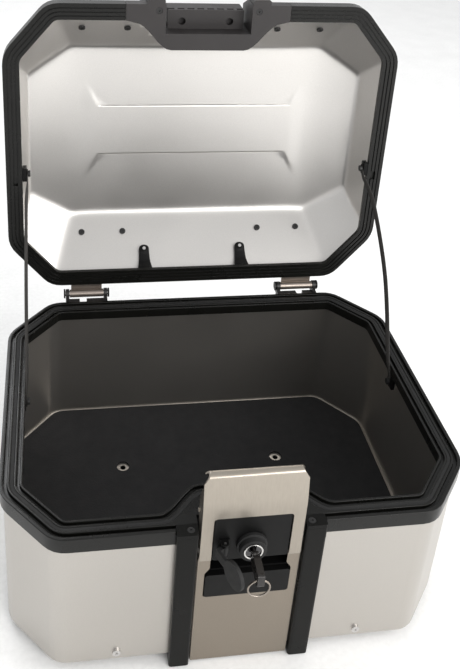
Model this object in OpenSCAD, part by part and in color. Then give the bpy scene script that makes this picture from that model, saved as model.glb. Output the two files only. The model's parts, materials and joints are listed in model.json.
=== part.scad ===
// Motorcycle top case: pressed aluminium body and lid in black moulded frames, with a sprung latch
// and lock at the front, two hinges at the back and two straps that hold the lid open.
// X runs across the case, the front faces -Y, and the base stands on Z = 0.

/* [Case] */
// Width of the case across its rim
case_w = 480; // [460:2:500]
// Depth of the case across its rim
case_d = 374; // [364:2:390]
// Height of the body from its base to the top of its rim
body_h = 188; // [188:1:230]
// Width that each slanting corner takes off
corner_x = 52; // [46:1:56]
// Depth that each slanting corner takes off
corner_y = 61; // [55:1:66]
// Thickness of the aluminium sheet
sheet = 1.5; // [1:0.1:1.6]

/* [Lid] */
// Height of the lid's roof above the rim
lid_h = 71.5; // [66:0.5:80]
// Height of the crease where the lid's side walls turn to the roof
crease_h = 60.5; // [56:0.5:62]
// Half width of the flat roof
roof_x = 160; // [150:1:170]
// Half depth of the flat roof
roof_y = 117; // [110:1:120]
// Angle from the closed lid to the lid resting on its straps
lid_open = 92; // [75:1:92]

/* [Rim] */
// Height of the rim's outer skirt
skirt_h = 17; // [14:1:20]
// Width of the rim from its outer edge to its inner ridge
rim_w = 23; // [22:0.5:24]
// Depth of the shelf that swells inwards behind the latch
shelf_d = 33; // [28:1:36]

/* [Latch] */
// Width of the latch plate
latch_w = 100; // [96:1:100]
// Height of the latch plate's rolled top above the rim
latch_top = 65.5; // [64:0.5:67]
// Angle that the latch swings in to hook the lid
latch_swing = 6; // [4:0.5:6]
// Travel of the release button
button_travel = 4; // [2:0.5:5]

/* [Lock] */
// Diameter of the black ring round the lock
bezel_dia = 30; // [28:0.5:32]
// Diameter of the turning plug
plug_dia = 15.6; // [14:0.2:15.8]
// Angle of the open dust cover from its closed place
cover_open = 66; // [66:1:90]

/* [Hidden] */

$fn = 48;
gap = 0.1;
half_w = case_w / 2;
half_d = case_d / 2;
corner_len = norm([corner_x, corner_y]);
corner_cut = 14;

// body sheet
skin_inset = 3.6;
skin_low = 10;
skin_top = body_h - 6;
skin_front = -half_d + skin_inset;
skin_in = skin_inset + sheet;

// rim levels
rim_web = body_h - 5.7;
rim_floor = body_h - 4;
rim_low = body_h - skirt_h;
shelf_x = 88;
shelf_top_x = 44;

// lid: heights are counted from the rim, with a working gap under the frame
lid_gap = 0.5;
lid_base = 6;
frame_w = 19.5;
frame_h = 18;

// latch and lock
bore_gap = 0.05;
plate_front = -half_d - 1.5;
plate_sheet = 1.5;
latch_front = -half_d - 3.8;
latch_sheet = 2;
latch_low = body_h - 38;
latch_half = latch_w / 2;
latch_bend = body_h + 29;
pivot_y = -half_d + 3;
pivot_z = body_h - 30;
pivot_r = 2;
notch_half = 51.5;
lock_z = body_h - 20;
mount_half = 47;
mount_front = -half_d + 2.5;
mount_back = -half_d + 47;
mount_low = body_h - 95;
mount_top = rim_web - 0.2;
panel_half = 37.3;
panel_front = -half_d - 2.5;
window_half = 38.3;
button_half = 42.3;
button_low = body_h - 90;
button_high = body_h - 60;
button_back = -half_d + 15;
pocket_back = button_back + button_travel + 12;
cover_x = -27;
cover_y = panel_front - 5.6;
column_in = 52.2;
column_out = 73;
column_front = -half_d - 6;

// hinges
hinge_x = 142;
hinge_y = half_d + 14.5;
hinge_z = body_h + 3;
pin_r = 3.5;

// straps
strap_w = 6;
strap_t = 1.4;
anchor_y = 26;
anchor_z = body_h - 20;
anchor_x = half_w - rim_w - 0.9;
lid_anchor_x = half_w - frame_w - 6;
lid_anchor_y = 28;
lid_anchor_w = 6;

function mix(a, b, t) = a + (b - a) * t;

// A closed outline with each corner rounded off over the length cut
corner_steps = 4;
function toward(from, to, reach) = (to - from) / norm(to - from) * reach;
function soften(pts, cut) = [
    for (i = [0:len(pts) - 1])
        let (here = pts[i])
        let (before = pts[(i + len(pts) - 1) % len(pts)])
        let (after = pts[(i + 1) % len(pts)])
        for (k = [0:corner_steps])
            let (t = k / corner_steps)
            here + toward(here, before, cut * pow(1 - t, 2)) + toward(here, after, cut * pow(t, 2))
];

// Where the slanting corner meets the front and the sides, at a distance in from the rim's edge
function corner_reach(inset) =
    corner_y * half_w + corner_x * half_d - corner_x * corner_y - inset * corner_len;
function front_corner(inset) = (corner_reach(inset) - corner_x * (half_d - inset)) / corner_y;
function side_corner(inset) = (corner_reach(inset) - corner_y * (half_w - inset)) / corner_x;
function octagon(inset) =
    let (x = half_w - inset)
    let (y = half_d - inset)
    let (fx = front_corner(inset))
    let (sy = side_corner(inset))
    [[fx, -y], [x, -sy], [x, sy], [fx, y], [-fx, y], [-x, sy], [-x, -sy], [-fx, -y]];
function outline(inset) = soften(octagon(inset), corner_cut - 0.42 * inset);

// The same outline with the shelf behind the latch
function shelf_curve(inset, side) =
    let (shift = 0.41 * (rim_w - inset))
    [
        for (k = [0:8])
            let (t = side < 0 ? k / 8 : 1 - k / 8)
            let (x = mix(shelf_x, shelf_top_x, t) - shift)
            [side * x, -half_d + inset + shelf_d * (1 - cos(180 * t)) / 2]
    ];
function shelved(inset) = concat(outline(inset), shelf_curve(inset, -1), shelf_curve(inset, 1));

module box(low, high) {
    translate(low)
        cube(high - low);
}

// A slab of an outline, from one height to another
module slab(points, low, high) {
    translate([0, 0, low])
        linear_extrude(high - low)
            polygon(points);
}

// The same, hollow inside a second outline
module band(outer, inner, low, high) {
    translate([0, 0, low])
        linear_extrude(high - low)
            difference() {
                polygon(outer);
                polygon(inner);
            }
}

// A round bar along Y, from one y to another
module bar_y(x, y0, y1, z, r) {
    translate([x, y0, z])
        rotate([-90, 0, 0])
            cylinder(h = y1 - y0, r = r);
}

// A round bar along X
module bar_x(x0, x1, y, z, r) {
    translate([x0, y, z])
        rotate([0, 90, 0])
            cylinder(h = x1 - x0, r = r);
}

// A side profile of [y, z] points, extruded along X
module profile_x(points, x0, x1) {
    translate([x0, 0, 0])
        rotate([90, 0, 90])
            linear_extrude(x1 - x0)
                polygon(points);
}

// A front outline of [x, z] points, extruded along Y
module profile_y(points, y0, y1) {
    translate([0, y1, 0])
        rotate([90, 0, 0])
            linear_extrude(y1 - y0)
                polygon(points);
}

// A left and a right copy, mirrored in X
module both_sides() {
    children();
    mirror([1, 0, 0])
        children();
}

// Carries the closed lid to its open place
module lid_pose() {
    translate([0, hinge_y, hinge_z])
        rotate([-lid_open, 0, 0])
            translate([0, -hinge_y, -hinge_z])
                children();
}

// ---- body ----

module tray_holes(r, low, high) {
    for (x = [-100, 100], y = [-70, 70])
        translate([x, y, low])
            cylinder(h = high - low, r = r);
}

module base_tray() {
    color([0.1, 0.1, 0.1])
        difference() {
            union() {
                slab(outline(24), 0, 3);
                slab(outline(19), 3, skin_low - gap);
            }
            // channels that slide over the carrier's hooks
            both_sides()
                box([132, -110, -1], [156, 110, 6]);
            // recess over the carrier's latch
            box([-40, 90, -1], [40, 130, 6]);
            for (x = [-182, 182], y = [-88, 88])
                translate([x, y, -1])
                    cylinder(h = 5, r = 13);
            tray_holes(3.3, -1, 12);
        }
}

module base_pads() {
    color([0.16, 0.16, 0.16])
        for (x = [-182, 182], y = [-88, 88])
            translate([x, y, 0])
                cylinder(h = 4 - gap, r = 12.9);
}

module skin_holes() {
    both_sides()
        bar_y(126, skin_front - 5, skin_front + 5, 20, 2.6);
}

module body_skin() {
    color([0.77, 0.76, 0.74])
        difference() {
            slab(outline(skin_inset), skin_low, skin_top);
            translate([0, 0, skin_low + sheet])
                linear_extrude(body_h)
                    polygon(outline(skin_in));
            // opening for the lock mount, wider where the latch swings
            box([-mount_half - 0.4, -half_d, mount_low - 0.4], [mount_half + 0.4, skin_front + 6, body_h]);
            box([-notch_half, -half_d, latch_low - 3], [notch_half, skin_front + 6, body_h]);
            skin_holes();
            tray_holes(3.6, 0, 20);
        }
}

module floor_mat() {
    color([0.14, 0.14, 0.15])
        difference() {
            slab(outline(9), skin_low + sheet + gap, skin_low + sheet + 2.5);
            tray_holes(8, 0, 30);
        }
}

module body_rim() {
    color([0.13, 0.13, 0.13])
        difference() {
            union() {
                band(outline(0), outline(skin_inset - gap), rim_low, rim_web);
                band(outline(0), shelved(rim_w), rim_web, rim_floor);
                band(outline(0), outline(4), rim_floor, body_h);
                // second ridge, which swells to the flat shelf behind the latch
                band(outline(8), shelved(10.7), rim_floor, body_h);
                band(shelved(14.5), shelved(17), rim_floor, body_h - 0.5);
                band(shelved(rim_w - 2.5), shelved(rim_w), rim_floor, body_h);
                band(outline(skin_in + gap), outline(skin_in + 2), rim_low + 1, rim_web);
                band(shelved(rim_w - 2), shelved(rim_w), body_h - 12, rim_web);
            }
            // space for the latch, the lock panel and the column caps
            box([-notch_half, -half_d - 1, rim_low - 1], [notch_half, -half_d + 18, body_h + 1]);
            both_sides()
                box([notch_half - 1, -half_d - 1, rim_floor], [column_out + 0.3, -half_d + 8, body_h + 1]);
        }
}

module rim_gasket() {
    color([0.07, 0.07, 0.07])
        band(shelved(10.9), shelved(14.3), rim_floor + 0.02, body_h - 0.6);
}

// Plan of a column from its front face back to y, with its corners rounded
function column_plan(y, cut) =
    soften([[column_in, column_front], [column_out, column_front], [column_out, y], [column_in, y]], cut);

module column(side) {
    color([0.15, 0.15, 0.15])
        scale([side, 1, 1]) {
            slab(column_plan(-half_d + 14, 3), 1, skin_low - gap);
            slab(column_plan(skin_front - gap, 2.5), skin_low - gap, rim_low - gap);
            slab(column_plan(-half_d - gap, 2), rim_low - gap, rim_floor);
        }
}

module column_left() {
    column(-1);
}

module column_right() {
    column(1);
}

cap_screw_x = 59;
cap_screw_y = -half_d + 1;

module column_cap(side) {
    color([0.14, 0.14, 0.14])
        scale([side, 1, 1])
            difference() {
                slab(column_plan(-half_d + 7.8, 2), rim_floor + 0.05, body_h + 0.3);
                translate([cap_screw_x, cap_screw_y, rim_floor - 1])
                    cylinder(h = 6, r = 1.8);
                translate([cap_screw_x, cap_screw_y, body_h - 1.6])
                    cylinder(h = 6, r = 3.8);
            }
}

module column_cap_left() {
    column_cap(-1);
}

module column_cap_right() {
    column_cap(1);
}

module cap_screws() {
    color([0.2, 0.2, 0.2])
        both_sides()
            translate([cap_screw_x, cap_screw_y, 0])
                difference() {
                    union() {
                        translate([0, 0, rim_floor + 0.1])
                            cylinder(h = 3, r = 1.7);
                        translate([0, 0, body_h - 1.55])
                            cylinder(h = 1.6, r = 3.6);
                    }
                    translate([0, 0, body_h - 0.8])
                        cylinder(h = 2, r = 1.3, $fn = 6);
                }
}

module front_plate() {
    half = latch_half + 0.5;
    face = [
        [-half, 2], [half, 2], [half, latch_low + 3], [window_half, latch_low + 3],
        [window_half, button_high + 8], [button_half + 0.8, button_high + 1],
        [button_half + 0.8, button_low - 0.8], [-button_half - 0.8, button_low - 0.8],
        [-button_half - 0.8, button_high + 1], [-window_half, button_high + 8],
        [-window_half, latch_low + 3], [-half, latch_low + 3]
    ];
    color([0.66, 0.62, 0.56])
        union() {
            profile_y(soften(face, 1.5), plate_front, plate_front + plate_sheet);
            both_sides()
                box([half - plate_sheet, plate_front + 1, 2], [half, skin_front - gap, latch_low - 4]);
        }
}

module skin_bolts() {
    color([0.6, 0.6, 0.6])
        both_sides()
            difference() {
                union() {
                    bar_y(126, skin_front - 2.4, skin_front - 0.02, 20, 4.2);
                    bar_y(126, skin_front - 1, skin_front + sheet + 5, 20, 2.5);
                    bar_y(126, skin_front + sheet + 0.05, skin_front + sheet + 4, 20, 4.4, $fn = 6);
                }
                bar_y(126, skin_front - 4, skin_front - 1, 20, 1.6, $fn = 6);
            }
}

// ---- lock and latch ----

ear_out = 44.1;

module lock_mount() {
    recess = [
        [-42, button_high + 3], [42, button_high + 3], [36, latch_low - 2.5], [-36, latch_low - 2.5]
    ];
    color([0.09, 0.09, 0.09])
        difference() {
            union() {
                box([-mount_half, mount_front, mount_low], [mount_half, mount_back, mount_top]);
                // ears that carry the latch's pivot pins
                both_sides()
                    box([40, -half_d + 0.2, pivot_z - 4.5], [ear_out, mount_front + 1, pivot_z + 5]);
            }
            // notches for the latch's springs
            both_sides()
                box([ear_out, -half_d, pivot_z - 3.6], [mount_half + 1, pivot_y + 3.6, pivot_z + 3.6]);
            // pocket of the release button
            box([-button_half - 0.4, -half_d, button_low - 0.5],
                [button_half + 0.4, pocket_back, button_high + 0.5]);
            profile_y(recess, -half_d, -half_d + 17);
            // space round the lock
            box([-44, mount_front + 3, latch_low + 1], [44, mount_back - 2.5, mount_top - 2]);
            bar_y(0, -half_d, -half_d + 12, lock_z, 12.1);
            // light space under the lock, behind the button
            box([-44, pocket_back + 2.5, mount_low + 2.5], [44, mount_back - 2.5, latch_low + 2]);
            both_sides()
                bar_x(36, 60, pivot_y, pivot_z, pivot_r);
        }
}

module lock_panel() {
    top = body_h + 15;
    plan = [
        [-panel_half, latch_low - 2], [panel_half, latch_low - 2], [panel_half, top], [-panel_half, top]
    ];
    color([0.12, 0.12, 0.12])
        difference() {
            profile_y(soften(plan, 3), panel_front, mount_front - gap);
            bar_y(0, -half_d - 10, -half_d + 10, lock_z, 12.1);
        }
}

module lock_bezel() {
    color([0.08, 0.08, 0.08])
        difference() {
            union() {
                bar_y(0, panel_front - 4, panel_front - 0.02, lock_z, bezel_dia / 2);
                bar_y(0, panel_front - 10, panel_front - 3.9, lock_z, bezel_dia / 2 - 1.8);
            }
            bar_y(0, panel_front - 20, panel_front + 5, lock_z, 9.6);
        }
}

module lock_trim() {
    color([0.8, 0.8, 0.8])
        difference() {
            bar_y(0, panel_front - 10.8, panel_front - 1, lock_z, 9.5);
            bar_y(0, panel_front - 20, panel_front + 5, lock_z, plug_dia / 2 + 0.1);
        }
}

module lock_housing() {
    color([0.5, 0.5, 0.5])
        difference() {
            bar_y(0, panel_front + 0.05, -half_d + 36, lock_z, 12);
            bar_y(0, -half_d - 10, -half_d + 50, lock_z, plug_dia / 2 + bore_gap);
        }
}

key_slot_w = 2.4;
key_slot_h = 8.2;

module lock_plug() {
    color([0.7, 0.7, 0.7])
        difference() {
            union() {
                bar_y(0, panel_front - 9.6, -half_d + 36.5, lock_z, plug_dia / 2);
                bar_y(0, -half_d + 36.4, -half_d + 40, lock_z, 3);
            }
            box([-key_slot_w / 2, -half_d - 20, lock_z - key_slot_h / 2],
                [key_slot_w / 2, -half_d + 16, lock_z + key_slot_h / 2]);
        }
}

module lock_cam() {
    color([0.6, 0.6, 0.6])
        difference() {
            union() {
                bar_y(0, -half_d + 36.6, -half_d + 39, lock_z, 7);
                box([-4, -half_d + 36.6, lock_z - 13], [4, -half_d + 39, lock_z]);
            }
            bar_y(0, -half_d + 30, -half_d + 45, lock_z, 3.05);
        }
}

key_bow_front = -half_d - 46;
key_hole_z = lock_z - 3;

module key() {
    bow = [[key_bow_front, lock_z - 7], [key_bow_front, lock_z + 7], [key_bow_front + 22, lock_z + 8],
        [-half_d - 14.5, lock_z + 4.5], [-half_d - 14.5, lock_z - 4.5], [key_bow_front + 22, lock_z - 8]];
    color([0.1, 0.1, 0.1])
        difference() {
            union() {
                profile_x(soften(bow, 2.5), -3.4, 3.4);
                box([-1, -half_d - 16, lock_z - 3.8], [1, -half_d + 12, lock_z + 3.8]);
            }
            bar_x(-5, 5, key_bow_front + 4.5, key_hole_z, 2.6);
        }
}

ring_r = 10.4;

module key_ring() {
    color([0.75, 0.74, 0.72])
        translate([0, key_bow_front + 4.5, key_hole_z - ring_r])
            rotate([90, 0, 0])
                rotate_extrude()
                    translate([ring_r, 0])
                        circle(r = 0.9, $fn = 16);
}

cover_ear = 3.8;
cover_step = 6.4;

module cover_bracket() {
    color([0.1, 0.1, 0.1])
        difference() {
            union() {
                box([cover_x - 5, panel_front - 2, lock_z - 9],
                    [cover_x + 5, panel_front - 0.02, lock_z + 9]);
                for (z = [lock_z - 9, lock_z + 5.2]) {
                    translate([cover_x, cover_y, z])
                        cylinder(h = cover_ear, r = 3.6);
                    box([cover_x - 3.6, cover_y, z], [cover_x + 3.6, panel_front - 1, z + cover_ear]);
                }
            }
            translate([cover_x, cover_y, lock_z - 20])
                cylinder(h = 40, r = 1.25);
        }
}

module cover_pin() {
    color([0.6, 0.6, 0.6])
        translate([cover_x, cover_y, lock_z - 9.3])
            cylinder(h = 18.6, r = 1.2);
}

module key_cover() {
    reach = -cover_x;
    color([0.08, 0.08, 0.08])
        translate([cover_x, cover_y, lock_z])
            rotate([0, 0, -cover_open])
                difference() {
                    union() {
                        translate([0, 0, -5])
                            cylinder(h = 10, r = 3.4);
                        // arm that steps out in front of the lock, then the round lid
                        box([-2, -cover_step - 2.8, -5], [2, 0, 5]);
                        box([-2, -cover_step - 2.8, -5], [reach, -cover_step, 5]);
                        bar_y(reach, -cover_step - 3.6, -cover_step, 0, 14.2);
                        bar_y(reach, -cover_step - 0.1, -cover_step + 1, 0, 11.5);
                    }
                    bar_y(reach, -cover_step + 0.1, -cover_step + 2, 0, 9.8);
                    translate([0, 0, -20])
                        cylinder(h = 40, r = 1.25);
                }
}

module release_button() {
    x = button_half;
    plan = [[-x, button_low], [x, button_low], [x, button_high], [-x, button_high]];
    color([0.1, 0.1, 0.1])
        difference() {
            profile_y(soften(plan, 3), -half_d - 3, button_back);
            // blind seat of the spring
            bar_y(0, button_back - 6, button_back + 1, (button_low + button_high) / 2, 6.3);
        }
}

module button_spring() {
    turns = 5;
    front = button_back - 5.9;
    pitch = (pocket_back - 0.1 - front - 1) / (turns - 1);
    color([0.65, 0.65, 0.65])
        for (i = [0:turns - 1])
            translate([0, front + 0.5 + i * pitch, (button_low + button_high) / 2])
                rotate([90, 0, 0])
                    rotate_extrude()
                        translate([5, 0])
                            circle(r = 0.5, $fn = 16);
}

module latch_pins() {
    color([0.6, 0.6, 0.6])
        both_sides()
            bar_x(40.1, latch_half + 0.6, pivot_y, pivot_z, pivot_r - bore_gap);
}

// Side profile of the latch sheet: upright, a soft bend to a lean, and a rolled top edge
roll_r = 5.5;
roll_y = latch_front + 10.2;
roll_z = body_h + latch_top - roll_r;
bend_len = 14;
bend_lean = (roll_y + roll_r * cos(160) - latch_front) / (roll_z + roll_r * sin(160) - latch_bend);

function roll(r) = [for (a = [160:-20:-10]) [roll_y + r * cos(a), roll_z + r * sin(a)]];
function bend(y) = [
    for (k = [0:6])
        [y + bend_lean * bend_len * pow(k / 6, 2) / 2, latch_bend + bend_len * (k / 6 - 0.5)]
];

module latch_plate() {
    outer = roll(roll_r);
    inner = roll(roll_r - latch_sheet);
    sheet_side = concat(
        [[latch_front, latch_low]], bend(latch_front), outer,
        [for (i = [len(inner) - 1:-1:0]) inner[i]],
        [for (i = [6:-1:0]) bend(latch_front + latch_sheet)[i]],
        [[latch_front + latch_sheet, latch_low]]
    );
    window = [
        [-window_half, latch_low - 10], [window_half, latch_low - 10],
        [window_half, body_h + 16.2], [-window_half, body_h + 16.2]
    ];
    flange_low = latch_low + 3.2;
    flange = [
        [latch_front + 1, flange_low], [latch_front + 1, latch_bend],
        [latch_front + 5, latch_bend + 22], [latch_front + 11, latch_bend + 16],
        [-half_d + 15, body_h + 24], [-half_d + 15, body_h + 7],
        [-half_d + 9, body_h - 3], [-half_d + 7, flange_low]
    ];
    shoulder = [
        [latch_half - 7, roll_z + 7], [latch_half + 1, roll_z + 7], [latch_half + 1, roll_z - 5]
    ];
    color([0.68, 0.64, 0.58])
        difference() {
            union() {
                profile_x(sheet_side, -latch_half, latch_half);
                both_sides()
                    profile_x(flange, latch_half - latch_sheet, latch_half);
            }
            profile_y(soften(window, 4), latch_front - 5, latch_front + 5);
            both_sides()
                profile_y(shoulder, latch_front - 5, latch_front + 20);
            both_sides()
                bar_x(40, 60, pivot_y, pivot_z, pivot_r + bore_gap);
        }
}

module latch_rivets() {
    color([0.72, 0.7, 0.66])
        both_sides()
            bar_x(latch_half + 0.02, latch_half + 1.1, -half_d + 12, body_h + 13, 2);
}

// Turns of the two springs that push the latch outwards, round its pins
module latch_springs() {
    wire = 0.45;
    color([0.6, 0.6, 0.6])
        both_sides()
            for (turn = [0:2])
                translate([ear_out + 0.7 + turn * 1.1, pivot_y, pivot_z])
                    rotate([0, 90, 0])
                        rotate_extrude()
                            translate([pivot_r + 0.6, 0])
                                circle(r = wire, $fn = 16);
}

// ---- hinges ----

// Ears of the hinge brackets: where the outer one ends, their thickness and their radius
ear_x = 27;
ear_t = 4.5;
ear_r = 6;

module hinge_bracket(side) {
    color([0.1, 0.1, 0.1])
        scale([side, 1, 1])
            difference() {
                union() {
                    box([hinge_x - ear_x, half_d + gap, rim_low + 1],
                        [hinge_x + ear_x, half_d + 4, body_h - 2]);
                    box([hinge_x - ear_x, half_d + 3, body_h - 14],
                        [hinge_x + ear_x, hinge_y - 2, body_h - 4]);
                    for (x = [hinge_x - ear_x, hinge_x + ear_x - ear_t]) {
                        box([x, half_d + 3, body_h - 14], [x + ear_t, hinge_y, body_h - 2]);
                        box([x, hinge_y - ear_r, body_h - 8], [x + ear_t, hinge_y + ear_r, hinge_z]);
                        bar_x(x, x + ear_t, hinge_y, hinge_z, ear_r);
                    }
                }
                box([hinge_x, half_d, body_h - 9], [hinge_x + 9, half_d + 20, body_h]);
                bar_x(hinge_x - 40, hinge_x + 40, hinge_y, hinge_z, pin_r + bore_gap);
                for (x = [hinge_x - 15, hinge_x + 15]) {
                    bar_y(x, half_d - 5, half_d + 10, rim_low + 7, 2.3);
                    bar_y(x, half_d + 4, half_d + 20, rim_low + 7, 4.6);
                }
            }
}

module hinge_bracket_left() {
    hinge_bracket(-1);
}

module hinge_bracket_right() {
    hinge_bracket(1);
}

module bracket_screws() {
    color([0.3, 0.3, 0.3])
        both_sides()
            for (x = [hinge_x - 15, hinge_x + 15]) {
                bar_y(x, half_d + 0.2, half_d + 4.1, rim_low + 7, 2.2);
                bar_y(x, half_d + 4.05, half_d + 6, rim_low + 7, 4);
            }
}

module hinge_pin(side) {
    color([0.85, 0.85, 0.85])
        scale([side, 1, 1])
            bar_x(hinge_x - ear_x - 0.5, hinge_x + ear_x + 0.5, hinge_y, hinge_z, pin_r);
}

module hinge_pin_left() {
    hinge_pin(-1);
}

module hinge_pin_right() {
    hinge_pin(1);
}

module hinge_caps() {
    color([0.08, 0.08, 0.08])
        both_sides()
            for (x = [hinge_x - ear_x - 2.6, hinge_x + ear_x + 0.6])
                bar_x(x, x + 2, hinge_y, hinge_z, ear_r);
}

module hinge_leaf(side) {
    top = hinge_z + 5.2;
    color([0.6, 0.57, 0.53])
        lid_pose()
            scale([side, 1, 1])
                difference() {
                    union() {
                        bar_x(hinge_x - 22, hinge_x + 22, hinge_y, hinge_z, 5.2);
                        box([hinge_x - 20, half_d + 2, top - 2.6], [hinge_x + 20, hinge_y, top]);
                        box([hinge_x - 16, half_d + gap, body_h + 2],
                            [hinge_x + 16, half_d + 2.6, body_h + 17]);
                    }
                    bar_x(hinge_x - 40, hinge_x + 40, hinge_y, hinge_z, pin_r + bore_gap);
                }
}

module hinge_leaf_left() {
    hinge_leaf(-1);
}

module hinge_leaf_right() {
    hinge_leaf(1);
}

// ---- lid, drawn closed and carried to its open place ----

// Corner points of the pressed lid, drawn in so that a sheet of thickness t is left outside them: two
// at each front and rear corner of the base, the ends of the side creases, and the corners of the roof
base_front = half_d - skin_inset;
base_side = half_w - skin_inset;
crease_x = base_side - 21.9;
crease_y = 84;

function lid_ring(t, z, xs, ys) = [
    for (p = [[1, -1], [1, 1], [-1, 1], [-1, -1]])
        [p[0] * (xs - t), p[1] * (ys - t), z]
];
function lid_points(t, low) = concat(
    [for (p = octagon(skin_inset + 0.75 * t)) [p[0], p[1], low]],
    lid_ring(t, body_h + crease_h - t, crease_x, crease_y),
    lid_ring(0.41 * t, body_h + lid_h - t, roof_x, roof_y)
);
// Base points 0-7 run from the front right round to the front left, then come the crease ends 8-11
// and the roof corners 12-15
lid_faces = [
    [0, 1, 2, 3, 4, 5, 6, 7], [15, 14, 13, 12],
    [8, 9, 2, 1], [10, 11, 6, 5], [12, 13, 9, 8], [14, 15, 11, 10],
    [15, 12, 0, 7], [13, 14, 4, 3],
    [8, 1, 0], [12, 8, 0], [9, 3, 2], [9, 13, 3],
    [10, 5, 4], [14, 10, 4], [11, 7, 6], [11, 15, 7]
];
// Outline of the pressed lid at a height above its base
function lid_section(h) =
    let (base = octagon(skin_inset))
    let (s = h / (crease_h - lid_base))
    let (r = h / (lid_h - lid_base))
    let (side = mix(base[1], [crease_x, -crease_y], s))
    let (fold = mix(base[0], [crease_x, -crease_y], s))
    let (front = mix(base[0], [roof_x, -roof_y], r))
    let (quarter = [front, fold, side])
    concat(
        quarter, [for (i = [2:-1:0]) [quarter[i][0], -quarter[i][1]]],
        [for (p = quarter) [-p[0], -p[1]]], [for (i = [2:-1:0]) [-quarter[i][0], quarter[i][1]]]
    );

catch_half = 78;
catch_top = 57;
ledge_top = 54;
ledge_front = pivot_y + (ledge_top + body_h - pivot_z) * sin(latch_swing) - 0.3;
catch_back = -half_d + 60;
catch_out = catch_half + 19.6;

// Plan of the catch: its plate across the front, then along the shelf's curve
function catch_plan(grow) = concat(
    [
        [catch_out + grow, -half_d + frame_w + grow], [catch_out + grow, -half_d - grow],
        [-catch_out - grow, -half_d - grow], [-catch_out - grow, -half_d + frame_w + grow]
    ],
    shelf_curve(frame_w + 2.5 + grow, -1), shelf_curve(frame_w + 2.5 + grow, 1)
);

// Feet of the rails, and how far the lid's front and rear walls lean
rail_x = [92.5, 147];
wall_lean = atan2(lid_h - lid_base, base_front - roof_y);

// Stands something on the outside of the lid's slanting front or rear wall, at the rails' height
module on_wall(front) {
    side = front ? -1 : 1;
    out_y = front ? 150 : 137.5;
    height = lid_base + (base_front - out_y) * tan(wall_lean);
    translate([0, side * out_y, body_h + height])
        rotate([-side * wall_lean, 0, 0])
            children();
}

module lid_skin() {
    color([0.74, 0.73, 0.72])
        lid_pose()
            difference() {
                polyhedron(lid_points(0, body_h + lid_base), lid_faces);
                polyhedron(lid_points(sheet, body_h + lid_base - 1), lid_faces);
                intersection() {
                    box([-catch_half - 0.4, -half_d, body_h],
                        [catch_half + 0.4, catch_back + 4, body_h + catch_top + 0.4]);
                    slab(catch_plan(0.4), body_h - 1, body_h + catch_top + 1);
                }
                for (front = [true, false])
                    on_wall(front)
                        for (x = rail_x, s = [-1, 1])
                            translate([s * x, 0, -6])
                                cylinder(h = 12, r = 2.1);
            }
}

module lid_frame() {
    low = body_h + lid_gap;
    color([0.15, 0.15, 0.15])
        lid_pose()
            difference() {
                union() {
                    band(outline(0), outline(frame_w), low, body_h + lid_base - 0.1);
                    band(outline(0), octagon(skin_inset - 0.2), body_h + 5, body_h + frame_h);
                    band(outline(0), lid_section(frame_h - 4.2 - lid_base),
                        body_h + frame_h - 4, body_h + frame_h);
                }
                for (inset = [4.5, 9.2, 13.9])
                    band(outline(inset), outline(inset + 1.5), low - 1, low + 1.6);
                box([-catch_out - 0.4, -half_d - 5, low - 1], [catch_out + 0.4, -half_d + 40, body_h + 40]);
                both_sides()
                    box([half_w - 14, 31, low - 1], [half_w - 8.5, 42, low + 4]);
            }
}

module lid_catch() {
    low = body_h + lid_gap;
    side = [
        [-half_d, low], [-half_d, body_h + 30], [-half_d + 11, body_h + catch_top - 1],
        [catch_back - 1, body_h + catch_top - 0.6], [catch_back - 4, body_h + 20], [catch_back - 4, low]
    ];
    ledge = [
        [ledge_front + 0.5, body_h + 24], [ledge_front, body_h + ledge_top],
        [-half_d + 38, body_h + ledge_top], [-half_d + 38, body_h + 24]
    ];
    flange = [
        [catch_half, -half_d], [catch_out, -half_d],
        [catch_out, -half_d + 3.4], [catch_half, -half_d + 3.4]
    ];
    color([0.2, 0.19, 0.19])
        lid_pose()
            difference() {
                union() {
                    slab(catch_plan(0), low, body_h + lid_base - 0.1);
                    difference() {
                        intersection() {
                            profile_x(side, -catch_half, catch_half);
                            slab(catch_plan(0), low, body_h + catch_top);
                        }
                        // open front in which the latch hooks on
                        box([-notch_half + 0.4, -half_d - 1, low - 1],
                            [notch_half - 0.4, -half_d + 35, body_h + 60]);
                    }
                    profile_x(ledge, -46, 46);
                    both_sides()
                        slab(column_plan(-half_d + 3, 2.5), low, body_h + 26);
                    both_sides()
                        slab(flange, low, body_h + frame_h);
                }
                box([-notch_half + 0.4, -half_d - 1, low - 1],
                    [notch_half - 0.4, -half_d + 35, body_h + 24]);
                // screw seats, sight holes and the row of pockets in the ledge's front edge
                both_sides()
                    translate([59, -half_d + 7.5, low - 1])
                        cylinder(h = 3.6, r = 3.9);
                both_sides()
                    translate([29, -half_d + 26, body_h + 20])
                        cylinder(h = 12, r = 4.5);
                for (i = [0:7])
                    translate([-42 + i * 12 - 4.2, -half_d + 10, body_h + 26.5])
                        cube([8.4, 5, 5]);
            }
}

module catch_screws() {
    color([0.25, 0.25, 0.25])
        lid_pose()
            both_sides()
                translate([59, -half_d + 7.5, body_h + lid_gap + 0.3])
                    difference() {
                        cylinder(h = 2.28, r = 3.7);
                        translate([0, 0, -1])
                            cylinder(h = 2.4, r = 1.5, $fn = 6);
                    }
}

tab_x = 65;
tab_y = half_d - frame_w - 15.6;
tab_z = 29;
tab_reach = ((base_front - tab_y) * tan(wall_lean) + lid_base - tab_z) * cos(wall_lean) - sheet;

// Stands something square to a tab's plate, with +Z towards the lid's wall, which is tab_reach away
module on_tab() {
    translate([0, tab_y, tab_z])
        rotate([-wall_lean, 0, 0])
            children();
}

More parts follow.
